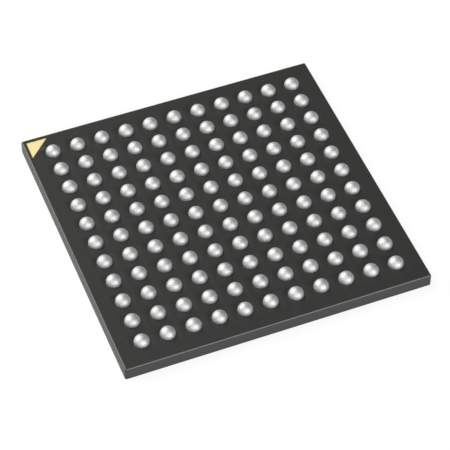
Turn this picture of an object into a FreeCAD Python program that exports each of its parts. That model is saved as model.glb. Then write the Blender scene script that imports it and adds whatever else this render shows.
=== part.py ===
import FreeCAD, Part
import os

import Sketcher

# An overmoulded ball grid array, 6 x 6 mm, with an 11 x 11 grid of solder balls at 0.5 mm pitch.
# It lies on its mould cap with the balls up. Z = 0 is the outer face of the cap, X and Y run along
# the sides, and the A1 corner is at -X, +Y. The origin is the middle of the cap's outer face.
# Lengths are millimetres.

# Driving sizes: name, value, what it is.
SIZES = (
    ("ball_pitch", 0.5, "from one ball's centre to the next"),
    ("balls_per_row", 11, "balls in a row, and rows"),
    ("edge_margin", 0.5, "from the outer balls' centres to the package edge"),
    ("ball_diameter", 0.29, "solder ball"),
    ("ball_height", 0.15, "top of a ball above the ball side mask"),
    ("core_thickness", 0.06, "glass and resin core of the substrate"),
    ("mask_thickness", 0.025, "solder mask on either side of the core"),
    ("copper_thickness", 0.015, "plated copper of pads, fingers and mark"),
    ("rim_land", 0.003, "upright edge of the ball side mask below its bevel"),
    ("cap_cover", 0.04, "mould compound between the wire loops and the outer face"),
    ("loop_height", 0.05, "top of a wire loop above the die"),
    ("die_thickness", 0.06, "thinned silicon"),
    ("film_thickness", 0.01, "die attach film"),
    ("die_side", 3.4, "side of the square die"),
    ("wire_width", 0.02, "bond wire across"),
    ("wires_per_side", 4, "wires along each side of the die"),
    ("wire_pitch", 0.75, "from one wire to the next"),
    ("wire_inset", 0.08, "wire foot in from the die's edge"),
    ("wire_overhang", 0.06, "level run of a loop past the die's edge"),
    ("finger_offset", 0.3, "from the die's edge to the bond fingers"),
    ("finger_length", 0.2, "bond finger along its wire"),
    ("finger_width", 0.09, "bond finger across its wire"),
    ("stitch_margin", 0.04, "end of a wire short of the finger's far end"),
    ("window_clearance", 0.04, "mask window round a row of fingers"),
    ("mark_leg", 0.425, "legs of the triangular A1 mark"),
    ("mark_inset", 0.083, "mark in from both package edges"),
    ("dimple_radius", 0.15, "round A1 dimple in the cap"),
    ("dimple_depth", 0.008, "depth of that dimple"),
    ("dimple_inset", 0.45, "dimple's centre in from both package edges"),
)

# Rows are lettered away from the A1 corner, with no I.
ROW_LETTERS = "abcdefghjkl"

# Balls, their pads and the openings round them are eight-sided, which keeps 121 of each light.
# A corner factor over one gives the polygon the area of the round it stands for.
SIDES = 8
STEP = f"(360 deg / {SIDES})"
CORNER_FACTOR = f"sqrt(2 * pi / ({SIDES} * sin({STEP})))"
# Rings of corners on a ball between its base and its top, which are at equal steps of latitude.
BANDS = 3

# Lengths and levels worked out from the driving sizes.
ROW_LENGTH = "(sizes.ball_pitch * (sizes.balls_per_row - 1))"
FIRST_BALL = f"(-{ROW_LENGTH} / 2)"
HALF_SIDE = f"({ROW_LENGTH} / 2 + sizes.edge_margin)"
HALF_DIE = "(sizes.die_side / 2)"
HALF_WIRE_ROW = "(sizes.wire_pitch * (sizes.wires_per_side - 1) / 2)"
DIE_FACE = "(sizes.cap_cover + sizes.loop_height)"
FILM_FACE = f"({DIE_FACE} + sizes.die_thickness)"
CAP_TOP = f"({FILM_FACE} + sizes.film_thickness)"
CORE_BOTTOM = f"({CAP_TOP} + sizes.mask_thickness)"
CORE_TOP = f"({CORE_BOTTOM} + sizes.core_thickness)"
BALL_SIDE = f"({CORE_TOP} + sizes.mask_thickness)"
FINGER_FACE = f"({CORE_BOTTOM} - sizes.copper_thickness)"
PAD_FACE = f"({CORE_TOP} + sizes.copper_thickness)"
BALL_RADIUS = "(sizes.ball_diameter / 2)"
BALL_CENTRE = f"({BALL_SIDE} + sizes.ball_height - {BALL_RADIUS})"
OPENING_RADIUS = f"sqrt({BALL_RADIUS} ^ 2 - (sizes.ball_height - {BALL_RADIUS}) ^ 2)"

doc = FreeCAD.newDocument("ball_grid_array")
sheet = doc.addObject("Spreadsheet::Sheet", "sizes")
for line, (alias, value, meaning) in enumerate(SIZES, start=1):
    sheet.set(f"A{line}", alias)
    sheet.set(f"B{line}", str(value))
    sheet.set(f"C{line}", meaning)
    sheet.setAlias(f"B{line}", alias)
doc.recompute()

nodes = []


def number(expression):
    """The present value of an expression, as a plain number."""
    result = sheet.evalExpression(expression)
    return getattr(result, "Value", result)


def keep(node, label):
    """Gives a finished sub-part its label and puts it on the list that is written out."""
    node.Label = label
    nodes.append(node)
    return node


def new_body(name):
    return doc.addObject("PartDesign::Body", name)


def origin_feature(body, role):
    return next(part for part in body.Origin.OriginFeatures if part.Role == role)


def sketch_on(body, name, level, plane="XY_Plane"):
    """An empty sketch on one of the body's own planes, lifted off it by an expression."""
    sketch = body.newObject("Sketcher::SketchObject", name)
    sketch.AttachmentSupport = [(origin_feature(body, plane), "")]
    sketch.MapMode = "FlatFace"
    sketch.setExpression("AttachmentOffset.Base.z", level)
    return sketch


def place_point(sketch, geometry, end, x, y):
    """Ties one point of the sketch to two expressions."""
    for axis, expression in (("X", x), ("Y", y)):
        rule = Sketcher.Constraint("Distance" + axis, -1, 1, geometry, end, number(expression))
        index = sketch.addConstraint(rule)
        sketch.setExpression(f"Constraints[{index}]", expression)


def outline(sketch, corners):
    """A closed outline of straight edges through corners that are given as expressions."""
    points = [FreeCAD.Vector(number(x), number(y), 0) for x, y in corners]
    following = points[1:] + points[:1]
    for start, finish in zip(points, following):
        sketch.addGeometry(Part.LineSegment(start, finish))
    for index, (x, y) in enumerate(corners):
        after = (index + 1) % len(corners)
        sketch.addConstraint(Sketcher.Constraint("Coincident", index, 2, after, 1))
        place_point(sketch, index, 1, x, y)
    return sketch


def rectangle(sketch, left, right, near, far):
    return outline(sketch, [(left, near), (right, near), (right, far), (left, far)])


def square(sketch, half):
    return rectangle(sketch, f"-{half}", half, f"-{half}", half)


def polygon(sketch, radius, x, y):
    """A regular outline with flats across X and Y, about as large as the circle of that radius."""
    corners = []
    for index in range(SIDES):
        angle = f"({index} + 0.5) * {STEP}"
        reach = f"{radius} * {CORNER_FACTOR}"
        corners.append((f"{x} + {reach} * cos({angle})", f"{y} + {reach} * sin({angle})"))
    return outline(sketch, corners)


def pad(body, name, sketch, length):
    feature = body.newObject("PartDesign::Pad", name)
    feature.Profile = sketch
    feature.setExpression("Length", length)
    return feature


def pocket(body, name, sketch, depth):
    """A cut upwards, the way the sketches face, so Reversed is set."""
    feature = body.newObject("PartDesign::Pocket", name)
    feature.Profile = sketch
    feature.Reversed = True
    feature.setExpression("Length", depth)
    return feature


def row_pattern(body, name, feature, axis, length, count):
    """Copies of a feature spaced evenly over a length along one axis of the body."""
    pattern = body.newObject("PartDesign::LinearPattern", name)
    pattern.Originals = [feature]
    pattern.Direction = (origin_feature(body, axis), [""])
    pattern.setExpression("Length", length)
    pattern.setExpression("Occurrences", count)
    body.Tip = pattern
    return pattern


def grid_pattern(body, name, feature):
    """Copies of a feature at every ball of the grid."""
    pattern = row_pattern(body, name, feature, "X_Axis", ROW_LENGTH, "sizes.balls_per_row")
    pattern.Direction2 = (origin_feature(body, "Y_Axis"), [""])
    pattern.setExpression("Length2", ROW_LENGTH)
    pattern.setExpression("Occurrences2", "sizes.balls_per_row")
    return pattern


def four_sides(body, name, feature):
    """The same feature on all four sides of the die."""
    pattern = body.newObject("PartDesign::PolarPattern", name)
    pattern.Originals = [feature]
    pattern.Axis = (origin_feature(body, "Z_Axis"), [""])
    pattern.Occurrences = 4
    body.Tip = pattern
    return pattern


def plate(name, half, bottom, thickness):
    """A square layer of the stack."""
    body = new_body(name)
    pad(body, name + "_layer", square(sketch_on(body, name + "_outline", bottom), half), thickness)
    return body


def finger_window(body, name, level):
    """The outline of the opening in the mask round the fingers on the +X side."""
    inner = f"({HALF_DIE} + sizes.finger_offset - sizes.window_clearance)"
    outer = f"({inner} + sizes.finger_length + 2 * sizes.window_clearance)"
    half = f"({HALF_WIRE_ROW} + sizes.finger_width / 2 + sizes.window_clearance)"
    return rectangle(sketch_on(body, name, level), inner, outer, f"-{half}", half)


def mark_outline(body, name, level):
    """A right triangle with its square corner towards A1."""
    left = f"(sizes.mark_inset - {HALF_SIDE})"
    back = f"({HALF_SIDE} - sizes.mark_inset)"
    corners = [
        (left, back),
        (left, f"{back} - sizes.mark_leg"),
        (f"{left} + sizes.mark_leg", back),
    ]
    return outline(sketch_on(body, name, level), corners)


def bond_fingers(side, turn):
    """Gold plated fingers under one side's wires, made on the +X side and turned about Z."""
    body = new_body("fingers_" + side)
    inner = f"({HALF_DIE} + sizes.finger_offset)"
    outer = f"({inner} + sizes.finger_length)"
    near = f"(-{HALF_WIRE_ROW} - sizes.finger_width / 2)"
    sketch = sketch_on(body, "finger_outline_" + side, FINGER_FACE)
    rectangle(sketch, inner, outer, near, f"({near} + sizes.finger_width)")
    finger = pad(body, "finger_" + side, sketch, "sizes.copper_thickness")
    length = f"2 * {HALF_WIRE_ROW}"
    row_pattern(body, "finger_row_" + side, finger, "Y_Axis", length, "sizes.wires_per_side")
    body.Placement = turn
    return keep(body, "bond_fingers_" + side)


def bond_wires(side, turn):
    """Looped wires from the die to the fingers: up, level past the edge, then down to the finger."""
    body = new_body("wires_" + side)
    width = "sizes.wire_width"
    foot = f"({HALF_DIE} - sizes.wire_inset)"
    knee = f"({HALF_DIE} + sizes.wire_overhang)"
    end = f"({HALF_DIE} + sizes.finger_offset + sizes.finger_length - sizes.stitch_margin)"
    top = "sizes.cap_cover"
    run = f"({end} - {knee})"
    drop = f"({FINGER_FACE} - {top})"
    # the slope is cut level at the finger, so its section there is longer than the wire is wide
    cut = f"({width} * sqrt({run} ^ 2 + {drop} ^ 2) / {drop})"
    corners = [
        (f"{foot} - {width} / 2", DIE_FACE),
        (f"{foot} - {width} / 2", top),
        (knee, top),
        (end, FINGER_FACE),
        (f"{end} - {cut}", FINGER_FACE),
        (f"{knee} - {cut} + {run} * {width} / {drop}", f"{top} + {width}"),
        (f"{foot} + {width} / 2", f"{top} + {width}"),
        (f"{foot} + {width} / 2", DIE_FACE),
    ]
    sketch = sketch_on(body, "loop_" + side, HALF_WIRE_ROW, plane="XZ_Plane")
    wire = pad(body, "wire_" + side, outline(sketch, corners), width)
    wire.SideType = "Symmetric"
    length = f"2 * {HALF_WIRE_ROW}"
    row_pattern(body, "wire_row_" + side, wire, "Y_Axis", length, "sizes.wires_per_side")
    body.Placement = turn
    return keep(body, "bond_wires_" + side)


# What the cap is moulded round: the die on its film, with wires to the fingers of the substrate.
film = keep(plate("film", HALF_DIE, FILM_FACE, "sizes.film_thickness"), "die_attach_film")
die = keep(plate("die", HALF_DIE, DIE_FACE, "sizes.die_thickness"), "silicon_die")
moulded_in = [film, die]
for quarter, side_name in enumerate(("right", "back", "left", "front")):
    turned = FreeCAD.Rotation(FreeCAD.Vector(0, 0, 1), 90 * quarter)
    side_place = FreeCAD.Placement(FreeCAD.Vector(), turned)
    moulded_in.append(bond_fingers(side_name, side_place))
    moulded_in.append(bond_wires(side_name, side_place))

# The cap before those pieces are taken out of it. Its ridges fill the windows of the mask.
blank = plate("cap_blank", HALF_SIDE, "0", CAP_TOP)
ridge_sketch = finger_window(blank, "ridge_outline", CAP_TOP)
ridge = pad(blank, "ridge", ridge_sketch, "sizes.mask_thickness")
four_sides(blank, "ridges", ridge)
dimple_sketch = sketch_on(blank, "dimple_outline", "0")
dimple_x = f"(sizes.dimple_inset - {HALF_SIDE})"
dimple_y = f"({HALF_SIDE} - sizes.dimple_inset)"
dimple_centre = FreeCAD.Vector(number(dimple_x), number(dimple_y), 0)
up = FreeCAD.Vector(0, 0, 1)
dimple_sketch.addGeometry(Part.Circle(dimple_centre, up, number("sizes.dimple_radius")))
place_point(dimple_sketch, 0, 3, dimple_x, dimple_y)
radius_rule = Sketcher.Constraint("Radius", 0, number("sizes.dimple_radius"))
radius_index = dimple_sketch.addConstraint(radius_rule)
dimple_sketch.setExpression(f"Constraints[{radius_index}]", "sizes.dimple_radius")
blank.Tip = pocket(blank, "dimple", dimple_sketch, "sizes.dimple_depth")

inside = doc.addObject("Part::Compound", "inside_the_cap")
inside.Links = moulded_in
cap = doc.addObject("Part::Cut", "cap")
cap.Base = blank
cap.Tool = inside
keep(cap, "mold_cap")

# The substrate, from the die side to the ball side.
lower_mask = plate("lower_mask", HALF_SIDE, CAP_TOP, "sizes.mask_thickness")
window_sketch = finger_window(lower_mask, "window_outline", CAP_TOP)
window = pocket(lower_mask, "window", window_sketch, "sizes.mask_thickness")
four_sides(lower_mask, "windows", window)
keep(lower_mask, "die_side_solder_mask")

keep(plate("core", HALF_SIDE, CORE_BOTTOM, "sizes.core_thickness"), "substrate_core")

mark = new_body("mark")
pad(mark, "mark_layer", mark_outline(mark, "mark_outline", CORE_TOP), "sizes.copper_thickness")
keep(mark, "pin_1_mark")

ball_pads = new_body("pads")
pad_sketch = sketch_on(ball_pads, "pad_outline", CORE_TOP)
polygon(pad_sketch, OPENING_RADIUS, FIRST_BALL, FIRST_BALL)
first_pad = pad(ball_pads, "first_pad", pad_sketch, "sizes.copper_thickness")
grid_pattern(ball_pads, "pad_grid", first_pad)
keep(ball_pads, "ball_pads")

upper_mask = plate("upper_mask", HALF_SIDE, CORE_TOP, "sizes.mask_thickness")
doc.recompute()
bevel = upper_mask.newObject("PartDesign::Chamfer", "bevel")
rim = upper_mask.getObject("upper_mask_layer")
top_level = number(BALL_SIDE)
rim_edges = []
for index, edge in enumerate(rim.Shape.Edges, start=1):
    if min(vertex.Point.z for vertex in edge.Vertexes) > top_level - 1e-6:
        rim_edges.append(f"Edge{index}")
bevel.Base = (rim, rim_edges)
bevel.setExpression("Size", "sizes.mask_thickness - sizes.rim_land")
mark_sketch = mark_outline(upper_mask, "mark_window_outline", CORE_TOP)
pocket(upper_mask, "mark_window", mark_sketch, "sizes.mask_thickness")
opening_sketch = sketch_on(upper_mask, "opening_outline", CORE_TOP)
polygon(opening_sketch, OPENING_RADIUS, FIRST_BALL, FIRST_BALL)
opening = pocket(upper_mask, "opening", opening_sketch, "sizes.mask_thickness")
grid_pattern(upper_mask, "openings", opening)
keep(upper_mask, "ball_side_solder_mask")

# Row A of the balls. Each stands in its opening, on its pad, and rounds to a point at the top.
row_a = new_body("balls_a")
base_latitude = f"asin(({BALL_RADIUS} - sizes.ball_height) / {BALL_RADIUS})"
sections = []
for band in range(BANDS):
    latitude = f"({base_latitude} + {band} / {BANDS} * (90 deg - {base_latitude}))"
    level = f"{BALL_CENTRE} + {BALL_RADIUS} * sin({latitude})" if band else PAD_FACE
    ring = sketch_on(row_a, f"ring_{band}", level)
    polygon(ring, f"{BALL_RADIUS} * cos({latitude})", FIRST_BALL, FIRST_BALL)
    sections.append(ring)
tip = sketch_on(row_a, "tip", f"{BALL_SIDE} + sizes.ball_height")
tip.addGeometry(Part.Point(FreeCAD.Vector(number(FIRST_BALL), number(FIRST_BALL), 0)))
place_point(tip, 0, 1, FIRST_BALL, FIRST_BALL)
ball = row_a.newObject("PartDesign::AdditiveLoft", "ball")
ball.Profile = sections[0]
ball.Sections = sections[1:] + [tip]
ball.Ruled = True
row_pattern(row_a, "ball_row", ball, "Y_Axis", ROW_LENGTH, "sizes.balls_per_row")
keep(row_a, "solder_balls_" + ROW_LETTERS[0])

# The other rows are the same balls, one pitch further along X each.
for place, letter in enumerate(ROW_LETTERS[1:], start=1):
    row = doc.addObject("Part::Compound", "balls_" + letter)
    row.Links = [row_a]
    row.setExpression("Placement.Base.x", f"{place} * sizes.ball_pitch")
    keep(row, "solder_balls_" + letter)

doc.recompute()

failed = [item.Name for item in doc.Objects if {"Invalid", "Error"} & set(item.State)]
if failed:
    raise RuntimeError("failed features: " + ", ".join(failed))
for node in nodes:
    if node.Shape.isNull() or not node.Shape.Solids or not node.Shape.isValid():
        raise RuntimeError(node.Label + " has no valid solid")

os.makedirs("parts", exist_ok=True)
for node in nodes:
    node.Shape.exportStep(f"parts/{node.Label}.step")
    print(node.Label, len(node.Shape.Solids), round(node.Shape.Volume, 6))
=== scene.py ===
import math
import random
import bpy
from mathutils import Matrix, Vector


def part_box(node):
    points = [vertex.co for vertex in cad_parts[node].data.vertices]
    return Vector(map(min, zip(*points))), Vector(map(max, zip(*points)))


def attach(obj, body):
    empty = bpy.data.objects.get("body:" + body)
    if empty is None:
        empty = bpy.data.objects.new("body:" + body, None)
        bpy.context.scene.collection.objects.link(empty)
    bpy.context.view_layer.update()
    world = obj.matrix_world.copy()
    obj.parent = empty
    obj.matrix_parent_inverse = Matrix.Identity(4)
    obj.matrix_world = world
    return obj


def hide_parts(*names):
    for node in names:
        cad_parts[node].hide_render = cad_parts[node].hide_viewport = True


bl_info = {
    "name": "Ball grid package",
    "version": (1, 0, 0),
    "blender": (4, 5, 0),
    "location": "3D View > Sidebar > Ball grid package",
    "description": "Dresses a moulded chip package that lies with its solder balls up",
    "category": "Object",
}

import bmesh
import bpy
from mathutils import Vector

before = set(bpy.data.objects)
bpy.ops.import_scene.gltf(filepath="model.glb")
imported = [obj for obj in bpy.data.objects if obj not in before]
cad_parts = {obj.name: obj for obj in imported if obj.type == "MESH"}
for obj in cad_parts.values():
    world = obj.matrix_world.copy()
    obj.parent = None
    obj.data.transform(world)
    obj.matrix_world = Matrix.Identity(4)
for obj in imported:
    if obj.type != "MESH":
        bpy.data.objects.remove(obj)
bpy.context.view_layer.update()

MM = 0.001
MICRON = 0.000001
BODY = "root"
ROWS = "abcdefghjkl"
SIDES = ("right", "back", "left", "front")
SEED = 11

# Points this near to each other count as level, and points nearer still become one
TOUCH = MICRON / 10
SAME = MICRON / 100
# The least tilt between two faces that keeps the line between them
LEAST_TILT = math.radians(0.5)
# Faces across the rounding of an opening or of the mark
FINE_STEPS = 3
# The cosine and sine of each quarter turn
QUARTERS = ((1, 0), (0, 1), (-1, 0), (0, -1))
# The floor reaches this far each way, and lies a little below the package
FLOOR_REACH = 0.4
FLOOR_GAP = 2 * MICRON
# The camera's film, in millimetres, and the range that it sees, in metres
FILM_WIDTH = 36.0
NEAREST, FURTHEST = 0.001, 10.0

# Where the frame puts things
MASK_LOW, MASK_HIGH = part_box("ball_side_solder_mask")
FACE_LEVEL = MASK_HIGH[2]
PAD_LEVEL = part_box("ball_pads")[1][2]
CORE_LEVEL = MASK_LOW[2]
HALF_SIDE = MASK_HIGH[0]


# Shader maths


class Signal:
    """A shader socket that takes part in Python arithmetic by adding Math nodes."""

    def __init__(self, shader, socket):
        self.shader = shader
        self.socket = socket

    def combine(self, operation, *values):
        """A Math node on some values."""
        inputs = dict(enumerate(values))
        return self.shader.node("ShaderNodeMath", {"operation": operation}, inputs)

    def __add__(self, other):
        return self.combine("ADD", self, other)

    def __radd__(self, other):
        return self.combine("ADD", other, self)

    def __sub__(self, other):
        return self.combine("SUBTRACT", self, other)

    def __rsub__(self, other):
        return self.combine("SUBTRACT", other, self)

    def __mul__(self, other):
        return self.combine("MULTIPLY", self, other)

    def __rmul__(self, other):
        return self.combine("MULTIPLY", other, self)

    def __gt__(self, other):
        return self.combine("GREATER_THAN", self, other)

    def __abs__(self):
        return self.combine("ABSOLUTE", self)

    def clamp(self):
        """Held between 0 and 1."""
        return self.combine("MINIMUM", self.combine("MAXIMUM", self, 0.0), 1.0)


class Shader:
    """The node tree of one material or world, written as Python expressions."""

    def __init__(self, tree):
        self.tree = tree
        tree.nodes.clear()

    def node(self, kind, settings=None, inputs=None, output=0):
        """Adds a node, sets it up, fills or links its sockets and returns one output."""
        made = self.tree.nodes.new(kind)
        for name, value in (settings or {}).items():
            if name == "stops":
                self.set_stops(made.color_ramp, value)
            else:
                setattr(made, name, value)
        for name, value in (inputs or {}).items():
            socket = made.inputs[name]
            if isinstance(value, Signal):
                self.tree.links.new(value.socket, socket)
            else:
                socket.default_value = value
        return Signal(self, made.outputs[output]) if made.outputs else None

    @staticmethod
    def set_stops(ramp, stops):
        """Gives a ramp its grey stops."""
        while len(ramp.elements) < len(stops):
            ramp.elements.new(1.0)
        for element, (place, value) in zip(ramp.elements, stops):
            element.position = place
            element.color = (value, value, value, 1.0)

    def place(self):
        """Where on the piece a point lies, in metres."""
        return self.node("ShaderNodeTexCoord", output="Object")

    def facing(self, axis):
        """How far the surface faces along an axis, either way, from 0 to 1."""
        normal = self.node("ShaderNodeTexCoord", output="Normal")
        return abs(self.node("ShaderNodeSeparateXYZ", inputs={0: normal}, output=axis))

    def reach(self):
        """How far from the middle a point lies along X or Y, whichever is more, in metres."""
        place = {0: self.place()}
        x = abs(self.node("ShaderNodeSeparateXYZ", inputs=place, output=0))
        y = abs(self.node("ShaderNodeSeparateXYZ", inputs=place, output=1))
        return x.combine("MAXIMUM", x, y)

    def disc(self, x, y, radius):
        """1 within a circle round an upright line, 0 outside it."""
        away = self.node(
            "ShaderNodeVectorMath",
            {"operation": "MULTIPLY_ADD"},
            {0: self.place(), 1: (1.0, 1.0, 0.0), 2: (-x, -y, 0.0)},
        )
        far = self.node("ShaderNodeVectorMath", {"operation": "LENGTH"}, {0: away}, output="Value")
        return 1 - (far > radius)

    def noise(self, grain, detail=2.0, stretch=(1, 1, 1)):
        """Noise from 0 to 1 whose lumps are about as wide as grain, longer along a stretch."""
        scale = [1 / (grain * longer) for longer in stretch]
        scaled = self.node("ShaderNodeMapping", inputs={"Vector": self.place(), "Scale": scale})
        inputs = {"Vector": scaled, "Scale": 1.0, "Detail": detail}
        return self.node("ShaderNodeTexNoise", inputs=inputs)

    def specks(self, grain, stops):
        """Small lumps that stand out of a plain ground, 0 to 1."""
        value = self.noise(grain, detail=1.0)
        return self.node("ShaderNodeValToRGB", {"stops": stops}, {"Fac": value})

    def blend(self, first, second, share):
        """A colour between two colours."""
        settings = {"data_type": "RGBA", "blend_type": "MIX"}
        inputs = {0: share, 6: first, 7: second}
        return self.node("ShaderNodeMix", settings, inputs, output=2)

    def bump(self, height, depth, after=None):
        """A normal from a height of 0 to 1 that stands for depth in metres."""
        inputs = {"Height": height, "Distance": depth, "Strength": 1.0}
        if after is not None:
            inputs["Normal"] = after
        return self.node("ShaderNodeBump", inputs=inputs)

    def surface(self, **inputs):
        """The finished surface of a material."""
        names = {name.replace("_", " ").title(): value for name, value in inputs.items()}
        if "Specular" in names:
            names["Specular IOR Level"] = names.pop("Specular")
        shader = self.node("ShaderNodeBsdfPrincipled", inputs=names)
        self.node("ShaderNodeOutputMaterial", inputs={"Surface": shader})


def opaque(colour, strength=1.0):
    """A colour as sockets take it, made darker or paler by a strength."""
    return (*(channel * strength for channel in colour), 1.0)


def about(value, noise, swing):
    """A value that noise moves up and down, within a swing."""
    return value + swing * (noise - 0.5)


def new_material(name):
    """An empty material and its shader."""
    material = bpy.data.materials.new(name)
    material.use_nodes = True
    return material, Shader(material.node_tree)


def solder_finish(settings):
    """Reflowed tin alloy: satin, faintly mottled, with a fine grain."""
    material, shader = new_material("reflowed_solder")
    mottle = shader.noise(0.055 * MM, detail=3.0)
    grain = shader.noise(0.006 * MM)
    bright = opaque(settings.colour)
    dull = opaque(settings.colour, 0.86)
    shader.surface(
        base_color=shader.blend(dull, bright, mottle),
        metallic=settings.metallic,
        roughness=about(settings.roughness, mottle, 0.12),
        normal=shader.bump(grain, 0.3 * MICRON, shader.bump(mottle, 1.8 * MICRON)),
    )
    return material


def mask_finish(settings):
    """Black solder mask: a smooth cured film with a slight orange peel."""
    material, shader = new_material("black_solder_mask")
    peel = shader.noise(0.09 * MM)
    cloud = shader.noise(1.1 * MM, detail=3.0)
    colour = opaque(settings.colour)
    pale = opaque(settings.colour, 1.12)
    shader.surface(
        base_color=shader.blend(colour, pale, cloud),
        roughness=about(settings.roughness, peel, 0.06),
        specular=settings.specular,
        normal=shader.bump(peel, 0.3 * MICRON),
    )
    return material


def edge_finish(settings, mask):
    """The rounded rim: mask that handling has burnished, smoother and coated, with a paler colour
    that is painted highlight, but not where the rim turns upright.
    """
    material, shader = new_material("burnished_edge_with_painted_highlight")
    scrape = shader.noise(0.02 * MM, detail=3.0, stretch=(5, 5, 1))
    up = shader.facing(2)
    # The burnish and the painted highlight are full at a tilt of 13 to 60 degrees, and gone at 0
    # and at 76
    starts = (40 * (1 - up)).clamp()
    fades = (4 * (up - 0.25)).clamp()
    burnish_and_painted_highlight = starts * fades
    plain = opaque(mask.colour)
    paler_colour = opaque(settings.colour)
    smoother = burnish_and_painted_highlight * (settings.roughness - mask.roughness)
    shader.surface(
        # Painted highlight: the rim's colour turns paler at the tilts where the lamps' highlights
        # fall
        base_color=shader.blend(plain, paler_colour, burnish_and_painted_highlight * (0.7 + 0.6 * scrape).clamp()),
        roughness=about(mask.roughness + smoother, scrape, 0.12 * burnish_and_painted_highlight),
        specular=mask.specular,
        coat_weight=burnish_and_painted_highlight * settings.shine,
        coat_roughness=settings.roughness,
        normal=shader.bump(scrape, 0.2 * MICRON),
    )
    return material


def mould_finish(settings):
    """Filled epoxy: pits, flecks, a smooth dimple and a worn edge on its face, sawn sides."""
    material, shader = new_material("mould_compound")
    pits = shader.noise(0.014 * MM, detail=3.0)
    marks = shader.noise(0.008 * MM, stretch=(14, 14, 1))
    fleck = shader.specks(0.022 * MM, ((0.6, 0.0), (0.7, 1.0)))
    cloud = shader.noise(0.7 * MM, detail=3.0)
    scrape = shader.specks(0.05 * MM, ((0.4, 0.0), (0.62, 1.0)))
    # 1 on the face that was moulded, 0 on the four sides that were sawn
    face = shader.facing(2) > 0.5
    middle = HALF_SIDE - settings.dimple_inset
    dimple = shader.disc(-middle, middle, settings.dimple_radius)
    band = ((shader.reach() - (HALF_SIDE - settings.wear)) * (1 / settings.wear)).clamp()
    dark = opaque(settings.colour)
    pale = opaque(settings.colour, 2.2)
    patches = 0.3 * cloud + 0.35 * fleck * (1 - dimple) + 0.6 * band * scrape
    moulded = shader.blend(dark, pale, patches.clamp())
    side = opaque(settings.side_colour)
    paler_colour = opaque(settings.side_colour, 1.25)
    sawn = shader.blend(side, paler_colour, marks)
    relief = pits * face * (1 - 0.85 * dimple) + marks * (1 - face)
    duller = face * (settings.roughness - settings.side_roughness) - 0.2 * dimple
    shader.surface(
        base_color=shader.blend(sawn, moulded, face),
        roughness=about(settings.side_roughness + duller, relief, 0.1),
        normal=shader.bump(relief, 0.9 * MICRON),
    )
    return material


def laminate_finish(settings):
    """The sawn edge of the core: dark resin with glass bundles that run along it."""
    material, shader = new_material("sawn_laminate")
    bundles = shader.noise(0.02 * MM, stretch=(9, 9, 1))
    pits = shader.noise(0.01 * MM)
    resin = opaque(settings.side_colour)
    glass = opaque(settings.side_colour, 1.25)
    shader.surface(
        base_color=shader.blend(resin, glass, bundles),
        roughness=about(settings.side_roughness, bundles, 0.1),
        normal=shader.bump(pits, 0.4 * MICRON),
    )
    return material


def plating_finish(settings):
    """Soft gold over nickel: pale, satin, with a faint grain from the copper below."""
    material, shader = new_material("gold_plating")
    grain = shader.noise(0.03 * MM, detail=3.0)
    gold = opaque(settings.colour)
    deep = opaque(settings.colour, 0.93)
    shader.surface(
        base_color=shader.blend(deep, gold, grain),
        metallic=settings.metallic,
        roughness=about(settings.roughness, grain, 0.1),
        normal=shader.bump(grain, 0.3 * MICRON),
    )
    return material


def wire_finish(settings):
    """Drawn gold wire."""
    material, shader = new_material("drawn_gold")
    draw = shader.noise(0.004 * MM, stretch=(6, 6, 1))
    gold = opaque(settings.wire_colour)
    shader.surface(
        base_color=shader.blend(opaque(settings.wire_colour, 0.9), gold, draw),
        metallic=1.0,
        roughness=0.22 + 0.1 * draw,
    )
    return material


def silicon_finish(settings):
    """Ground silicon, blue grey and half polished."""
    material, shader = new_material("ground_silicon")
    marks = shader.noise(0.02 * MM, stretch=(20, 1, 1))
    dark = opaque(settings.silicon_colour)
    pale = opaque(settings.silicon_colour, 1.25)
    shader.surface(
        base_color=shader.blend(dark, pale, marks),
        metallic=0.5,
        roughness=0.25 + 0.15 * marks,
    )
    return material


def film_finish(settings):
    """Die attach film, a tan filled resin."""
    material, shader = new_material("attach_film")
    cloud = shader.noise(0.05 * MM)
    tan = opaque(settings.film_colour)
    shader.surface(
        base_color=shader.blend(opaque(settings.film_colour, 0.8), tan, cloud),
        roughness=0.55 + 0.1 * cloud,
    )
    return material


# Mesh helpers


def add_object(name, data):
    """Puts a mesh, lamp or camera into the scene."""
    made = bpy.data.objects.new(name, data)
    bpy.context.scene.collection.objects.link(made)
    return made


def build_mesh(name, mesh_code):
    """A mesh from a function that fills it, with every face turned outward."""
    mesh = bpy.data.meshes.new(name)
    work = bmesh.new()
    mesh_code(work)
    bmesh.ops.recalc_face_normals(work, faces=work.faces)
    work.to_mesh(mesh)
    work.free()
    return mesh


def new_piece(name, mesh_code, material, node):
    """Makes a piece, dresses it, hangs it on the body and hides the CAD node it stands for."""
    mesh = build_mesh(name, mesh_code)
    mesh.materials.append(material)
    piece = add_object(name, mesh)
    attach(piece, BODY)
    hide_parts(node)
    return piece


def dress_node(name, material):
    """Gives a CAD node that stays its finish."""
    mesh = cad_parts[name].data
    mesh.materials.clear()
    mesh.materials.append(material)


def smooth(faces):
    """Shades faces as parts of one curve."""
    for face in faces:
        face.smooth = True


def ring(work, radius, level, sides, centre, phase=0.0):
    """A loop of points round a centre."""
    points = []
    for index in range(sides):
        angle = math.tau * index / sides + phase
        x = centre[0] + radius * math.cos(angle)
        y = centre[1] + radius * math.sin(angle)
        points.append(work.verts.new((x, y, level)))
    return points


def bridge(work, lower, upper):
    """Quads between two loops that have as many points."""
    count = len(lower)
    faces = []
    for index in range(count):
        after = (index + 1) % count
        corners = (lower[index], lower[after], upper[after], upper[index])
        faces.append(work.faces.new(corners))
    return faces


def prism(work, corners, low, high):
    """A straight sided shape between two levels. Returns its upper face."""
    base = [work.verts.new((x, y, low)) for x, y in corners]
    roof = [work.verts.new((x, y, high)) for x, y in corners]
    work.faces.new(base)
    top = work.faces.new(roof)
    bridge(work, base, roof)
    return top


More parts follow.
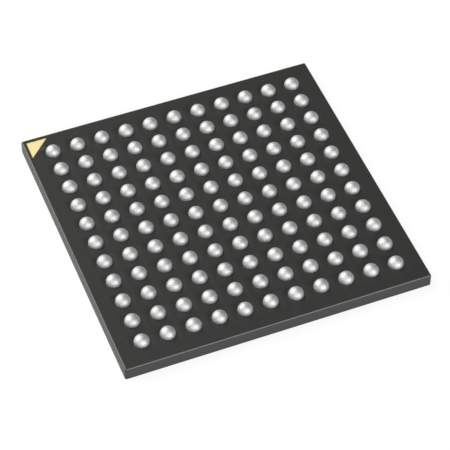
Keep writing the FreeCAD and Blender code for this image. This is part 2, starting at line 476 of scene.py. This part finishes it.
def round_edges(work, edges, radius, steps):
    """Rounds edges and returns the new faces."""
    made = bmesh.ops.bevel(
        work, geom=edges, offset=radius, segments=steps, profile=0.5, affect="EDGES"
    )
    return made["faces"]


def merge_points(work):
    """Joins points that lie in the same place."""
    bmesh.ops.remove_doubles(work, verts=work.verts, dist=SAME)


def arc(start, end, steps):
    """Angles from start to end, both included."""
    return [start + (end - start) * step / steps for step in range(steps + 1)]


# Settings


class BallSettings(bpy.types.PropertyGroup):
    diameter: bpy.props.FloatProperty(
        name="Diameter",
        description="Width of a solder ball",
        default=0.29 * MM,
        unit="LENGTH",
        precision=6,
    )
    pitch: bpy.props.FloatProperty(
        name="Pitch",
        description="From one ball's centre to the next",
        default=0.5 * MM,
        unit="LENGTH",
        precision=6,
    )
    spread: bpy.props.FloatProperty(
        name="Spread",
        description="How much the balls differ in height, as a share of it",
        default=0.05,
        subtype="FACTOR",
    )
    sides: bpy.props.IntProperty(
        name="Sides", description="Faces round a ball", default=40, min=16
    )
    bands: bpy.props.IntProperty(
        name="Bands", description="Faces from a ball's base to its top", default=12, min=6
    )
    colour: bpy.props.FloatVectorProperty(
        name="Colour",
        description="Tin alloy",
        subtype="COLOR",
        size=3,
        default=(0.735, 0.74, 0.74),
    )
    metallic: bpy.props.FloatProperty(
        name="Metallic", description="Share of metal in the look", default=0.88, subtype="FACTOR"
    )
    roughness: bpy.props.FloatProperty(
        name="Roughness", description="Of the satin surface", default=0.55, subtype="FACTOR"
    )


class EdgeSettings(bpy.types.PropertyGroup):
    rounding: bpy.props.FloatProperty(
        name="Rounding",
        description="Radius of the rim and of the upright corners",
        default=0.035 * MM,
        unit="LENGTH",
        precision=6,
    )
    steps: bpy.props.IntProperty(
        name="Steps", description="Faces across a rounded edge", default=8, min=2
    )
    # A paler colour for the rims: painted highlight laid over their real burnish
    colour: bpy.props.FloatVectorProperty(
        name="Colour",
        description="Burnished edges",
        subtype="COLOR",
        size=3,
        default=(0.031, 0.031, 0.031),
    )
    roughness: bpy.props.FloatProperty(
        name="Roughness", description="Of the burnished edges", default=0.25, subtype="FACTOR"
    )
    shine: bpy.props.FloatProperty(
        name="Shine", description="Strength of their polish", default=1.0, subtype="FACTOR"
    )


class MaskSettings(bpy.types.PropertyGroup):
    lip: bpy.props.FloatProperty(
        name="Lip",
        description="Rounding of the edge of each opening",
        default=0.006 * MM,
        unit="LENGTH",
        precision=6,
    )
    colour: bpy.props.FloatVectorProperty(
        name="Colour",
        description="Black solder mask",
        subtype="COLOR",
        size=3,
        default=(0.0165, 0.017, 0.0157),
    )
    roughness: bpy.props.FloatProperty(
        name="Roughness", description="Of the cured film", default=0.5, subtype="FACTOR"
    )
    specular: bpy.props.FloatProperty(
        name="Specular", description="Strength of its plain shine", default=0.43, subtype="FACTOR"
    )


class MouldSettings(bpy.types.PropertyGroup):
    colour: bpy.props.FloatVectorProperty(
        name="Colour",
        description="Mould compound",
        subtype="COLOR",
        size=3,
        default=(0.03, 0.031, 0.03),
    )
    dimple_inset: bpy.props.FloatProperty(
        name="Dimple inset",
        description="From the cap's two sides to the middle of its smooth dimple",
        default=0.45 * MM,
        unit="LENGTH",
        precision=6,
    )
    dimple_radius: bpy.props.FloatProperty(
        name="Dimple radius",
        description="Radius of the dimple",
        default=0.15 * MM,
        unit="LENGTH",
        precision=6,
    )
    wear: bpy.props.FloatProperty(
        name="Wear",
        description="Width of the worn band round the cap's face",
        default=0.06 * MM,
        unit="LENGTH",
        precision=6,
    )
    side_colour: bpy.props.FloatVectorProperty(
        name="Side colour",
        description="Sawn sides",
        subtype="COLOR",
        size=3,
        default=(0.018, 0.0185, 0.018),
    )
    side_roughness: bpy.props.FloatProperty(
        name="Side roughness", description="Of the sawn sides", default=0.48, subtype="FACTOR"
    )
    roughness: bpy.props.FloatProperty(
        name="Roughness", description="Of the moulded surface", default=0.6, subtype="FACTOR"
    )


class MarkSettings(bpy.types.PropertyGroup):
    colour: bpy.props.FloatVectorProperty(
        name="Colour",
        description="Gold plating",
        subtype="COLOR",
        size=3,
        default=(1.0, 0.83, 0.43),
    )
    metallic: bpy.props.FloatProperty(
        name="Metallic", description="Share of metal in the look", default=0.35, subtype="FACTOR"
    )
    roughness: bpy.props.FloatProperty(
        name="Roughness", description="Of the plating", default=0.5, subtype="FACTOR"
    )
    rounding: bpy.props.FloatProperty(
        name="Rounding",
        description="Rounding of the mark's upper edges",
        default=0.003 * MM,
        unit="LENGTH",
        precision=6,
    )


class InnerSettings(bpy.types.PropertyGroup):
    silicon_colour: bpy.props.FloatVectorProperty(
        name="Silicon", description="The die", subtype="COLOR", size=3, default=(0.1, 0.11, 0.13)
    )
    film_colour: bpy.props.FloatVectorProperty(
        name="Film",
        description="The die attach film",
        subtype="COLOR",
        size=3,
        default=(0.35, 0.28, 0.17),
    )
    wire_colour: bpy.props.FloatVectorProperty(
        name="Wire", description="Gold wire", subtype="COLOR", size=3, default=(1.0, 0.72, 0.3)
    )


class StageSettings(bpy.types.PropertyGroup):
    azimuth: bpy.props.FloatProperty(
        name="Azimuth",
        description="Camera's way round the package, 0 in front",
        default=math.radians(-21.504),
        subtype="ANGLE",
    )
    elevation: bpy.props.FloatProperty(
        name="Elevation",
        description="Camera's height above the horizon",
        default=math.radians(48.85),
        subtype="ANGLE",
    )
    distance: bpy.props.FloatProperty(
        name="Distance",
        description="From the camera to what it looks at",
        default=39.84 * MM,
        unit="LENGTH",
    )
    target: bpy.props.FloatVectorProperty(
        name="Target",
        description="What the camera looks at",
        size=3,
        default=(-0.1037 * MM, -0.4895 * MM, 0.3019 * MM),
        subtype="TRANSLATION",
        precision=6,
    )
    lens: bpy.props.FloatProperty(
        name="Lens", description="Focal length in millimetres", default=169.89
    )
    sky: bpy.props.FloatProperty(
        name="Sky", description="Plain light from all round", default=0.15
    )
    light: bpy.props.FloatProperty(
        name="Light", description="Strength of all the lamps together", default=1.2
    )
    floor_colour: bpy.props.FloatVectorProperty(
        name="Floor", description="Plain floor", subtype="COLOR", size=3, default=(0.9, 0.9, 0.9)
    )
    floor_glow: bpy.props.FloatProperty(
        name="Floor glow", description="Makes the lit floor render white", default=1.05
    )
    shadow: bpy.props.FloatProperty(
        name="Shadow",
        description="How much of the object's shadow the white floor keeps",
        default=0.2,
        subtype="FACTOR",
    )


# Pieces


class PACKAGE_OT_solder_balls(bpy.types.Operator):
    """Lays the rows of reflowed solder balls over the CAD rows"""

    bl_idname = "package.solder_balls"
    bl_label = "Solder balls"

    def profile(self, settings, tall, share):
        """Radius and level of a ball from its pad to its top, for a share of its full height."""
        neck = settings.diameter / 2
        wide = neck / math.sqrt(share)
        centre = tall - neck
        points = [(neck, PAD_LEVEL)]
        for angle in arc(-math.asin(centre / neck), math.pi / 2, settings.bands)[:-1]:
            rise = centre + neck * math.sin(angle)
            points.append((wide * math.cos(angle), FACE_LEVEL + share * rise))
        return points, FACE_LEVEL + share * tall

    def add_ball(self, work, settings, place, tall, share, phase):
        """One ball, turned by a phase so that no two show the same facets."""
        points, top = self.profile(settings, tall, share)
        loops = []
        for radius, level in points:
            loops.append(ring(work, radius, level, settings.sides, place, phase))
        for lower, upper in zip(loops, loops[1:]):
            bridge(work, lower, upper)
        work.faces.new(loops[0])
        peak = work.verts.new((place[0], place[1], top))
        crown = loops[-1]
        for index, point in enumerate(crown):
            work.faces.new((point, crown[(index + 1) % len(crown)], peak))

    def execute(self, context):
        settings = context.scene.package_balls
        material = solder_finish(settings)
        chance = random.Random(SEED)
        for letter in ROWS:
            node = "solder_balls_" + letter
            low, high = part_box(node)
            middle = (low + high) / 2
            tall = high[2] - FACE_LEVEL
            count = round((high[1] - low[1]) / settings.pitch)
            first = middle[1] - settings.pitch * (count - 1) / 2

            def row(work):
                for index in range(count):
                    place = (middle[0], first + settings.pitch * index)
                    share = 1 - settings.spread * chance.random()
                    phase = chance.uniform(0, math.tau)
                    self.add_ball(work, settings, place, tall, share, phase)
                smooth(work.faces)

            new_piece("reflowed_row_" + letter, row, material, node)
        return {"FINISHED"}


class PACKAGE_OT_ball_side(bpy.types.Operator):
    """Makes the solder mask with its rounded rim and an opening for every ball"""

    bl_idname = "package.ball_side"
    bl_label = "Ball side mask"

    def cell_edge(self, angle, half):
        """Where a ray from a cell's middle meets its square edge."""
        x, y = math.cos(angle), math.sin(angle)
        reach = half / max(abs(x), abs(y))
        return x * reach, y * reach

    def add_cell(self, work, balls, settings, place):
        """One pitch of the face with a round opening, from the face down to the core."""
        neck = balls.diameter / 2
        lip = settings.lip
        square = []
        for index in range(balls.sides):
            x, y = self.cell_edge(math.tau * index / balls.sides, balls.pitch / 2)
            square.append(work.verts.new((place[0] + x, place[1] + y, FACE_LEVEL)))
        outer = square
        for angle in arc(0, math.pi / 2, FINE_STEPS):
            radius = neck + lip * (1 - math.sin(angle))
            level = FACE_LEVEL - lip * (1 - math.cos(angle))
            inner = ring(work, radius, level, balls.sides, place)
            smooth(bridge(work, outer, inner))
            outer = inner
        foot = ring(work, neck, CORE_LEVEL, balls.sides, place)
        smooth(bridge(work, outer, foot))
        under = []
        for point in square:
            under.append(work.verts.new((point.co[0], point.co[1], CORE_LEVEL)))
        bridge(work, foot, under)

    def add_border(self, work, points, half, level, sign):
        """The strip from the outer cells to the rim, which faces up or, by its sign, down."""
        edge = [p for p in points if abs(p.co[2] - level) < TOUCH]
        limit = max(p.co[0] for p in edge)
        for cosine, sine in QUARTERS:

            def turned(co):
                return co[0] * cosine + co[1] * sine, -co[0] * sine + co[1] * cosine

            side = [p for p in edge if turned(p.co)[0] > limit - TOUCH]
            side.sort(key=lambda p: turned(p.co)[1])
            outer = []
            for point in side:
                along = turned(point.co)[1]
                if abs(abs(along) - limit) < TOUCH:
                    along = math.copysign(half, along)
                x = half * cosine - along * sine
                y = half * sine + along * cosine
                outer.append(work.verts.new((x, y, level)))
            for index in range(len(side) - 1):
                corners = [side[index], outer[index], outer[index + 1], side[index + 1]]
                work.faces.new(corners if sign > 0 else corners[::-1])

    def add_rim(self, work, flat, edge):
        """The rounded rim, from the flat face out and down to the core and back under."""
        base = spread_square(work, flat, edge.steps)
        stations = []
        for tilt in arc(0, rim_end(edge), edge.steps):
            reach = edge.rounding * math.sin(tilt)
            stations.append((reach, FACE_LEVEL - edge.rounding * (1 - math.cos(tilt))))
        stations.append((0.0, CORE_LEVEL))
        loops = []
        for reach, level in stations:
            spots = [(x + reach * u, y + reach * v, level) for x, y, u, v in base]
            loops.append([work.verts.new(spot) for spot in spots])
        for upper, lower in zip(loops, loops[1:]):
            for face in bridge(work, lower, upper):
                face.material_index = 1
                face.smooth = lower is not loops[-1]

    def execute(self, context):
        settings = context.scene.package_mask
        balls = context.scene.package_balls
        edge = context.scene.package_edge
        count = len(ROWS)
        half_grid = balls.pitch * (count - 1) / 2
        flat = HALF_SIDE - edge.rounding

        def face(work):
            for column in range(count):
                for line in range(count):
                    place = (column * balls.pitch - half_grid, line * balls.pitch - half_grid)
                    self.add_cell(work, balls, settings, place)
            merge_points(work)
            points = [p for p in work.verts if p.is_boundary]
            self.add_border(work, points, flat, FACE_LEVEL, 1)
            self.add_border(work, points, flat, CORE_LEVEL, -1)
            merge_points(work)
            self.add_rim(work, flat, edge)
            merge_points(work)

        piece = new_piece(
            "ball_side_face", face, mask_finish(settings), "ball_side_solder_mask"
        )
        piece.data.materials.append(edge_finish(edge, settings))
        cut_window(piece)
        return {"FINISHED"}


def rim_end(edge):
    """How far round the rim goes in the mask, before the core takes over."""
    return math.acos(1 - (FACE_LEVEL - CORE_LEVEL) / edge.rounding)


def spread_square(work, flat, steps):
    """Points round the edge of the flat face, each with the way that the rim goes from it."""
    spots = []
    for cosine, sine in QUARTERS:
        along = []
        for point in work.verts:
            x, y, level = point.co
            out, side = x * cosine + y * sine, y * cosine - x * sine
            if abs(level - FACE_LEVEL) < TOUCH and abs(out - flat) < TOUCH:
                along.append(side)
        for side in sorted(along):
            x, y = flat * cosine - side * sine, flat * sine + side * cosine
            spots.append((x, y, cosine, sine))
        x, y = flat * (cosine - sine), flat * (sine + cosine)
        for angle in arc(0, math.pi / 2, steps)[1:-1]:
            way = math.cos(angle), math.sin(angle)
            spots.append((x, y, cosine * way[0] - sine * way[1], sine * way[0] + cosine * way[1]))
    return spots


def mark_corners():
    """The mark's three corners, from its square corner at A1 on."""
    low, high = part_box("pin_1_mark")
    return ((low[0], high[1]), (low[0], low[1]), (high[0], high[1]))


def cut_window(piece):
    """Opens the mask over the corner mark."""

    def window(work):
        over = FACE_LEVEL - CORE_LEVEL
        prism(work, mark_corners(), CORE_LEVEL - over, FACE_LEVEL + over)

    tool = add_object("window_tool", build_mesh("window_tool", window))
    cut = piece.modifiers.new("window", "BOOLEAN")
    cut.operation = "DIFFERENCE"
    cut.solver = "EXACT"
    cut.object = tool
    apply_modifiers(piece)
    bpy.data.objects.remove(tool)


def apply_modifiers(piece):
    """Turns what the modifiers make into the piece's own mesh."""
    bpy.context.view_layer.update()
    graph = bpy.context.evaluated_depsgraph_get()
    made = bpy.data.meshes.new_from_object(piece.evaluated_get(graph))
    piece.modifiers.clear()
    piece.data = made


class PACKAGE_OT_corner_mark(bpy.types.Operator):
    """Makes the gold plated triangle at the A1 corner"""

    bl_idname = "package.corner_mark"
    bl_label = "Corner mark"

    def execute(self, context):
        settings = context.scene.package_mark
        low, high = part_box("pin_1_mark")

        def triangle(work):
            top = prism(work, mark_corners(), low[2], high[2])
            round_edges(work, list(top.edges), settings.rounding, FINE_STEPS)

        new_piece(
            "plated_corner", triangle, plating_finish(settings), "pin_1_mark"
        )
        return {"FINISHED"}


class PACKAGE_OT_body_layers(bpy.types.Operator):
    """Makes the mould cap, the core and the die side mask with rounded corners"""

    bl_idname = "package.body_layers"
    bl_label = "Body layers"

    def add_layer(self, name, node, slot, material, edge):
        """A CAD layer with its upright corners rounded."""
        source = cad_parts[node].data

        def layer(work):
            work.from_mesh(source)
            merge_points(work)
            bmesh.ops.dissolve_limit(
                work, angle_limit=LEAST_TILT, verts=work.verts, edges=work.edges
            )
            for face in work.faces:
                face.smooth = False
                face.material_index = 0
            upright = [line for line in work.edges if at_corner(line)]
            corners = round_edges(work, upright, edge.rounding, edge.steps)
            work.normal_update()
            smooth(face for face in corners if abs(face.normal.z) < 0.5)
            if node == "substrate_core":
                round_core(work, edge)

        new_piece(name, layer, material, node)

    def execute(self, context):
        settings = context.scene.package_mould
        edge = context.scene.package_edge
        mould = mould_finish(settings)
        laminate = laminate_finish(settings)
        self.add_layer("mould_body", "mold_cap", "mold_compound", mould, edge)
        self.add_layer("laminate_core", "substrate_core", "laminate", laminate, edge)
        self.add_layer("die_side_film", "die_side_solder_mask", "solder_mask", laminate, edge)
        return {"FINISHED"}


def round_core(work, edge):
    """Ends the rim's rounding in the core's upper edge."""
    foot = (0, 0, FACE_LEVEL - edge.rounding)
    everything = work.verts[:] + work.edges[:] + work.faces[:]
    bmesh.ops.bisect_plane(work, geom=everything, plane_co=foot, plane_no=(0, 0, 1))
    flat = HALF_SIDE - edge.rounding
    gap = edge.rounding * (1 - math.sin(rim_end(edge)))
    for point in work.verts:
        x, y, level = point.co
        past = Vector([math.copysign(max(abs(value) - flat, 0), value) for value in (x, y)])
        if level > CORE_LEVEL - MICRON and past.length > edge.rounding / 2:
            past.normalize()
            point.co.x -= gap * past.x
            point.co.y -= gap * past.y


def at_corner(edge):
    """Whether an edge stands upright at one of the body's corners."""
    first, second = (point.co for point in edge.verts)
    outside = min(abs(value) for value in (*first[:2], *second[:2])) > HALF_SIDE - MICRON
    return outside and abs(first[2] - second[2]) > MICRON


class PACKAGE_OT_inner_finish(bpy.types.Operator):
    """Gives the sealed pieces their finish"""

    bl_idname = "package.inner_finish"
    bl_label = "Inner finish"

    def execute(self, context):
        inner = context.scene.package_inner
        plating = plating_finish(context.scene.package_mark)
        wire = wire_finish(inner)
        dress_node("silicon_die", silicon_finish(inner))
        dress_node("die_attach_film", film_finish(inner))
        dress_node("ball_pads", plating)
        for side in SIDES:
            dress_node("bond_fingers_" + side, plating)
            dress_node("bond_wires_" + side, wire)
        return {"FINISHED"}


# Each lamp's name, the direction it shines from, its strength, its width in degrees and its tint
LAMPS = (
    ("warm_key", (-0.46, 0.6, 0.66), 2.0, 70, (1.0, 1.0, 0.94)),
    ("cool_fill", (0.38, -0.86, 0.34), 0.9, 50, (0.94, 0.98, 1.0)),
    ("front_panel", (-0.1, -0.95, 0.25), 1.15, 80, (0.9, 0.97, 1.0)),
    ("high_panel", (-0.24, -0.61, 0.75), 0.5, 80, (1.0, 0.98, 0.98)),
    ("left_panel", (-0.95, -0.1, 0.28), 0.3, 100, (1.0, 0.99, 0.95)),
)


class PACKAGE_OT_stage(bpy.types.Operator):
    """Sets the floor, the light and the camera"""

    bl_idname = "package.stage"
    bl_label = "Stage"

    def floor(self, settings):
        """A plain floor that renders white and keeps some of the package's shadow."""
        half = FLOOR_REACH
        mesh = bpy.data.meshes.new("floor")
        corners = [(-half, -half, 0), (half, -half, 0), (half, half, 0), (-half, half, 0)]
        mesh.from_pydata(corners, [], [(0, 1, 2, 3)])
        floor = add_object("floor", mesh)
        floor.location.z = -FLOOR_GAP
        material, shader = new_material("plain_floor")
        white = {"Color": (1, 1, 1, 1), "Strength": settings.floor_glow}
        seen = shader.node("ShaderNodeEmission", inputs=white)
        lit = shader.node(
            "ShaderNodeBsdfDiffuse", inputs={"Color": opaque(settings.floor_colour)}
        )
        share = looked_at(shader) * (1 - settings.shadow)
        mixed = shader.node("ShaderNodeMixShader", inputs={0: share, 1: lit, 2: seen})
        shader.node("ShaderNodeOutputMaterial", inputs={"Surface": mixed})
        mesh.materials.append(material)

    def world(self, settings):
        """Even light from all round, and white where the camera sees past the floor."""
        world = bpy.data.worlds.new("studio")
        world.use_nodes = True
        bpy.context.scene.world = world
        shader = Shader(world.node_tree)
        camera = shader.node("ShaderNodeLightPath", output="Is Camera Ray")
        strength = settings.sky + camera * (1 - settings.sky)
        sky = shader.node("ShaderNodeBackground", inputs={"Strength": strength})
        shader.node("ShaderNodeOutputWorld", inputs={"Surface": sky})

    def lamp(self, name, direction, strength, angle, colour):
        """A broad soft lamp far away, given by the direction that it shines from."""
        light = bpy.data.lights.new(name, "SUN")
        light.energy = strength
        light.angle = math.radians(angle)
        light.color = colour
        lamp = add_object(name, light)
        lamp.rotation_mode = "QUATERNION"
        lamp.rotation_quaternion = Vector(direction).to_track_quat("Z", "Y")

    def camera(self, settings):
        """The camera, on its line of sight at its distance from the target."""
        data = bpy.data.cameras.new("camera")
        data.lens = settings.lens
        data.sensor_width = FILM_WIDTH
        data.clip_start, data.clip_end = NEAREST, FURTHEST
        camera = add_object("camera", data)
        flat = math.cos(settings.elevation)
        x = math.sin(settings.azimuth) * flat
        y = -math.cos(settings.azimuth) * flat
        back = Vector((x, y, math.sin(settings.elevation)))
        camera.location = Vector(settings.target) + back * settings.distance
        camera.rotation_mode = "QUATERNION"
        camera.rotation_quaternion = back.to_track_quat("Z", "Y")
        bpy.context.scene.camera = camera

    def execute(self, context):
        settings = context.scene.package_stage
        context.scene.view_settings.view_transform = "Standard"
        self.floor(settings)
        self.world(settings)
        for name, direction, strength, angle, colour in LAMPS:
            self.lamp(name, direction, strength * settings.light, angle, colour)
        self.camera(settings)
        return {"FINISHED"}


def looked_at(shader):
    """1 for what the camera, metal and glass see of the floor."""
    camera = shader.node("ShaderNodeLightPath", output="Is Camera Ray")
    glossy = shader.node("ShaderNodeLightPath", output="Is Glossy Ray")
    through = shader.node("ShaderNodeLightPath", output="Is Transmission Ray")
    return (camera + glossy + through).clamp()


class PACKAGE_PT_sidebar(bpy.types.Panel):
    """Buttons for the pieces of the package"""

    bl_idname = "PACKAGE_PT_sidebar"
    bl_label = "Ball grid package"
    bl_space_type = "VIEW_3D"
    bl_region_type = "UI"
    bl_category = "Ball grid package"

    def draw(self, context):
        for operator in OPERATORS:
            self.layout.operator(operator.bl_idname)


SETTINGS = {
    "package_balls": BallSettings,
    "package_edge": EdgeSettings,
    "package_mask": MaskSettings,
    "package_mould": MouldSettings,
    "package_mark": MarkSettings,
    "package_inner": InnerSettings,
    "package_stage": StageSettings,
}
OPERATORS = (
    PACKAGE_OT_stage,
    PACKAGE_OT_body_layers,
    PACKAGE_OT_inner_finish,
    PACKAGE_OT_ball_side,
    PACKAGE_OT_corner_mark,
    PACKAGE_OT_solder_balls,
)


def register():
    """Adds the settings, the buttons' operators and the sidebar."""
    for name, group in SETTINGS.items():
        bpy.utils.register_class(group)
        setattr(bpy.types.Scene, name, bpy.props.PointerProperty(type=group))
    for operator in OPERATORS:
        bpy.utils.register_class(operator)
    bpy.utils.register_class(PACKAGE_PT_sidebar)


def unregister():
    """Takes them away again."""
    bpy.utils.unregister_class(PACKAGE_PT_sidebar)
    for operator in reversed(OPERATORS):
        bpy.utils.unregister_class(operator)
    for name, group in reversed(SETTINGS.items()):
        delattr(bpy.types.Scene, name)
        bpy.utils.unregister_class(group)


def main():
    """Builds the whole dressed package."""
    register()
    for operator in OPERATORS:
        category, name = operator.bl_idname.split(".")
        getattr(getattr(bpy.ops, category), name)()


if __name__ == "__main__":
    main()
